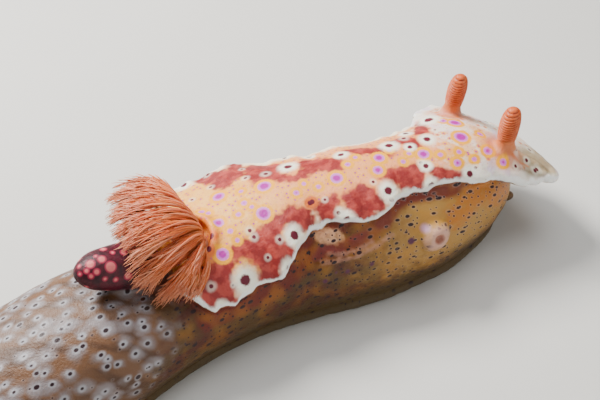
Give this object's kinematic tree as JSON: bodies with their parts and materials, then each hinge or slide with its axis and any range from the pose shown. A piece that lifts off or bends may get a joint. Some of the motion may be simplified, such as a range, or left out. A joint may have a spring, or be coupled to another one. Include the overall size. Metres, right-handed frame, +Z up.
{
  "type": "sea slug model",
  "caption": "Life-size still model of a crawling sea slug with a blunt horn behind a feathery gill, ridged head feelers and a broad mantle shield.",
  "frame": {"origin": "on the flat sole, on the body's middle line, seven millimetres ahead of the middle of the gill", "axes": "+X towards the head, +Y towards the animal's left side, +Z up from the floor"},
  "size_m": [0.1184, 0.0313, 0.0273],
  "materials": {
    "tail_skin": "satin, wet look",
    "flank_skin": "satin, wet look",
    "foot_skin": "satin, wet look",
    "mantle_skin": "satin, wet look",
    "horn_skin": "satin, wet look",
    "gill_skin": "satin, wet look",
    "rhinophore_skin": "satin, wet look",
    "pale_skin": "satin, wet look"
  },
  "bodies": {
    "root": {"tail_tip": "tail_skin", "tail": "tail_skin", "trunk_rear": "flank_skin", "trunk_front": "flank_skin", "head": "flank_skin", "foot_tail": "foot_skin", "foot_middle": "foot_skin", "foot_front": "foot_skin", "mantle_rear": "mantle_skin", "mantle_middle": "mantle_skin", "mantle_front": "mantle_skin", "horn": "horn_skin", "gill_left": "gill_skin", "gill_right": "gill_skin", "rhinophore_left": "rhinophore_skin", "rhinophore_right": "rhinophore_skin", "oral_tentacle_left": "pale_skin", "oral_tentacle_right": "pale_skin", "genital_papilla": "pale_skin"}
  },
  "joints": []
}
